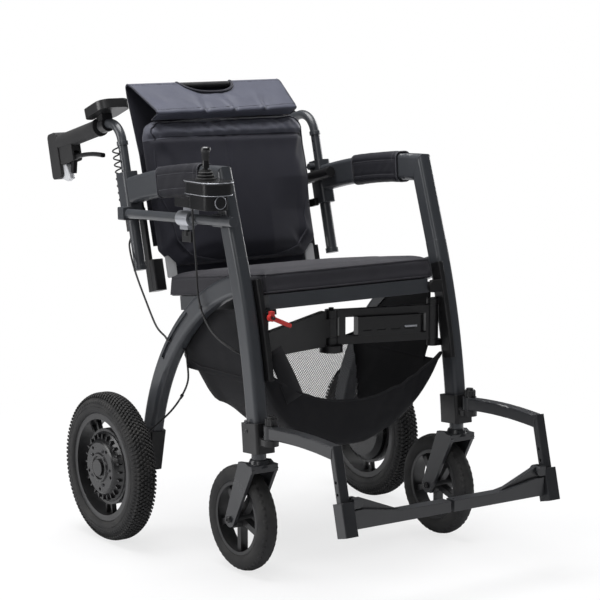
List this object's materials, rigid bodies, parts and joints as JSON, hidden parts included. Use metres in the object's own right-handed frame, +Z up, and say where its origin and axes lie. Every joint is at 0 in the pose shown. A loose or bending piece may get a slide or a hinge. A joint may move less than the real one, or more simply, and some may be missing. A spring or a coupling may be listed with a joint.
{
  "type": "rollator transport chair",
  "caption": "Folding rollator that turns into a powered transport chair, with padded armrests, hinged seat, swing-away footrests, push handles and a joystick.",
  "frame": {"origin": "under the middle of the part's box, on the floor", "axes": "+Z up, -Y is the way the seated person faces, +X is that person's left"},
  "size_m": [0.714, 1.0762, 0.9049],
  "materials": {
    "frame_grey": "satin",
    "black_satin": "satin",
    "black_plastic": "matte",
    "grip_rubber": "matte",
    "tyre": "matte",
    "motor_grey": "satin",
    "cloth_navy": "matte",
    "cloth_charcoal": "matte",
    "cloth_flap": "satin",
    "cord_black": "satin",
    "silver": "satin",
    "red_plastic": "gloss"
  },
  "bodies": {
    "left_side": {"left_side_frame": "frame_grey", "left_arm_pad": "cloth_navy", "left_back_post": "frame_grey", "left_hinge_post": "frame_grey", "left_axle_bracket": "black_satin", "left_backrest_rail": "black_satin", "left_footrest_collar": "black_plastic", "backrest_pad": "cloth_navy", "backrest_flap": "cloth_flap", "storage_bag": "cloth_navy"},
    "right_side": {"right_side_frame": "frame_grey", "right_arm_pad": "cloth_navy", "right_back_post": "frame_grey", "right_hinge_post": "frame_grey", "right_axle_bracket": "black_satin", "right_backrest_rail": "black_satin", "right_footrest_collar": "black_plastic", "curly_cord": "cord_black", "cord_connector": "black_plastic", "brake_cable": "cord_black", "control_cables": "cord_black", "joystick_bar": "black_satin", "joystick_clamp": "silver", "joystick_pod": "black_plastic", "joystick_boot": "grip_rubber"},
    "left_link": {"left_fold_link": "black_satin", "battery": "black_plastic"},
    "right_link": {"right_fold_link": "black_satin"},
    "seat": {"seat_frame": "black_satin", "seat_cushion": "cloth_charcoal"},
    "lock": {"lock_lever": "red_plastic"},
    "screw": {"clamp_screw": "black_plastic"},
    "gimbal": {"joystick_gimbal": "black_satin"},
    "stick": {"joystick_stick": "grip_rubber"},
    "button": {"power_button": "black_plastic"},
    "left_handle": {"left_handle_tube": "frame_grey", "left_grip": "grip_rubber"},
    "left_brake": {"left_brake_lever": "black_plastic"},
    "left_rear_wheel": {"left_rear_tyre": "tyre", "left_rear_rim": "black_satin", "left_hub_motor": "motor_grey"},
    "left_caster_yoke": {"left_caster_fork": "frame_grey"},
    "left_caster_wheel": {"left_caster_tyre": "tyre", "left_caster_rim": "black_satin"},
    "left_footrest": {"left_footrest_arm": "frame_grey"},
    "left_foot": {"left_foot_bar": "frame_grey"},
    "left_knob": {"left_footrest_knob": "black_plastic"},
    "right_handle": {"right_handle_tube": "frame_grey", "right_grip": "grip_rubber", "console": "black_plastic"},
    "right_brake": {"right_brake_lever": "black_plastic"},
    "right_rear_wheel": {"right_rear_tyre": "tyre", "right_rear_rim": "black_satin", "right_hub_motor": "motor_grey"},
    "right_caster_yoke": {"right_caster_fork": "frame_grey"},
    "right_caster_wheel": {"right_caster_tyre": "tyre", "right_caster_rim": "black_satin"},
    "right_footrest": {"right_footrest_arm": "frame_grey"},
    "right_foot": {"right_foot_bar": "frame_grey"},
    "right_knob": {"right_footrest_knob": "black_plastic"}
  },
  "joints": [
    {"name": "fold", "type": "hinge", "parent": "left_side", "child": "left_link", "pos_m": [0.205, -0.20283, 0.443], "axis": [0, 0, -1], "range_deg": [0, 50], "deforming": ["seat_cushion", "backrest_pad", "backrest_flap", "storage_bag"]},
    {"name": "knee", "type": "hinge", "parent": "left_link", "child": "right_link", "pos_m": [0, -0.14183, 0.443], "axis": [0, 0, 1], "range_deg": [0, 100]},
    {"name": "fold_right", "type": "hinge", "parent": "right_link", "child": "right_side", "pos_m": [-0.205, -0.20283, 0.443], "axis": [0, 0, -1], "range_deg": [0, 50]},
    {"name": "seat_lift", "type": "hinge", "parent": "left_side", "child": "seat", "pos_m": [0.194, -0.21485, 0.516], "axis": [0, 0.9914, -0.1305], "range_deg": [0, 80]},
    {"name": "left_handle_height", "type": "slide", "parent": "left_side", "child": "left_handle", "axis": [0, 0.2504, 0.9681], "range_m": [-0.04, 0.1]},
    {"name": "left_brake_squeeze", "type": "hinge", "parent": "left_handle", "child": "left_brake", "pos_m": [0.239, 0.44552, 0.74974], "axis": [-1, 0, 0], "range_deg": [0, 10], "stiffness_Nm_per_rad": 2},
    {"name": "left_rear_spin", "type": "hinge", "parent": "left_side", "child": "left_rear_wheel", "pos_m": [0.326, 0.16317, 0.15], "axis": [1, 0, 0], "continuous": true},
    {"name": "left_caster_swivel", "type": "hinge", "parent": "left_side", "child": "left_caster_yoke", "pos_m": [0.239, -0.24083, 0.23], "axis": [0, 0, 1], "continuous": true},
    {"name": "left_caster_spin", "type": "hinge", "parent": "left_caster_yoke", "child": "left_caster_wheel", "pos_m": [0.239, -0.18483, 0.104], "axis": [1, 0, 0], "continuous": true},
    {"name": "left_footrest_swing", "type": "hinge", "parent": "left_side", "child": "left_footrest", "pos_m": [0.239, -0.28083, 0.285], "axis": [0, 0, 1], "range_deg": [0, 60]},
    {"name": "left_foot_flip", "type": "hinge", "parent": "left_footrest", "child": "left_foot", "pos_m": [0.215, -0.51176, 0.197], "axis": [0, 1, 0], "range_deg": [0, 90]},
    {"name": "left_knob_turn", "type": "hinge", "parent": "left_side", "child": "left_knob", "pos_m": [0.239, -0.28083, 0.303], "axis": [0, 0, 1], "continuous": true},
    {"name": "right_handle_height", "type": "slide", "parent": "right_side", "child": "right_handle", "axis": [0, 0.2504, 0.9681], "range_m": [-0.04, 0.1], "deforming": ["curly_cord"]},
    {"name": "right_brake_squeeze", "type": "hinge", "parent": "right_handle", "child": "right_brake", "pos_m": [-0.239, 0.44552, 0.74974], "axis": [-1, 0, 0], "range_deg": [0, 10], "stiffness_Nm_per_rad": 2},
    {"name": "right_rear_spin", "type": "hinge", "parent": "right_side", "child": "right_rear_wheel", "pos_m": [-0.326, 0.16317, 0.15], "axis": [1, 0, 0], "continuous": true},
    {"name": "right_caster_swivel", "type": "hinge", "parent": "right_side", "child": "right_caster_yoke", "pos_m": [-0.239, -0.24083, 0.23], "axis": [0, 0, 1], "continuous": true},
    {"name": "right_caster_spin", "type": "hinge", "parent": "right_caster_yoke", "child": "right_caster_wheel", "pos_m": [-0.239, -0.18483, 0.104], "axis": [1, 0, 0], "continuous": true},
    {"name": "right_footrest_swing", "type": "hinge", "parent": "right_side", "child": "right_footrest", "pos_m": [-0.239, -0.28083, 0.285], "axis": [0, 0, -1], "range_deg": [0, 60]},
    {"name": "right_foot_flip", "type": "hinge", "parent": "right_footrest", "child": "right_foot", "pos_m": [-0.215, -0.51176, 0.197], "axis": [0, -1, 0], "range_deg": [0, 90]},
    {"name": "right_knob_turn", "type": "hinge", "parent": "right_side", "child": "right_knob", "pos_m": [-0.239, -0.28083, 0.303], "axis": [0, 0, 1], "continuous": true},
    {"name": "lock_release", "type": "hinge", "parent": "right_side", "child": "lock", "pos_m": [-0.21, -0.24085, 0.494], "axis": [0, -1, 0], "range_deg": [0, 45], "stiffness_Nm_per_rad": 0.6},
    {"name": "screw_turn", "type": "hinge", "parent": "right_side", "child": "screw", "pos_m": [-0.2685, -0.04103, 0.66595], "axis": [0, 0.0497, 0.9988], "continuous": true},
    {"name": "stick_pitch", "type": "hinge", "parent": "right_side", "child": "gimbal", "pos_m": [-0.2885, -0.13983, 0.733], "axis": [1, 0, 0], "range_deg": [-14, 14], "stiffness_Nm_per_rad": 0.3, "deforming": ["joystick_boot"]},
    {"name": "stick_roll", "type": "hinge", "parent": "gimbal", "child": "stick", "pos_m": [-0.2885, -0.13983, 0.733], "axis": [0, 1, 0], "range_deg": [-14, 14], "stiffness_Nm_per_rad": 0.3, "deforming": ["joystick_boot"]},
    {"name": "button_push", "type": "slide", "parent": "right_side", "child": "button", "axis": [0, 1, 0], "range_m": [0, 0.002], "stiffness_N_per_m": 400}
  ],
  "couplings": [
    {"joint": "knee", "follows": "fold", "ratio": 2},
    {"joint": "fold_right", "follows": "fold", "ratio": 1},
    {"joint": "seat_lift", "follows": "fold", "ratio": 1.6},
    {"joint": "left_footrest_swing", "follows": "fold", "ratio": 1.2},
    {"joint": "right_footrest_swing", "follows": "fold", "ratio": 1.2}
  ]
}
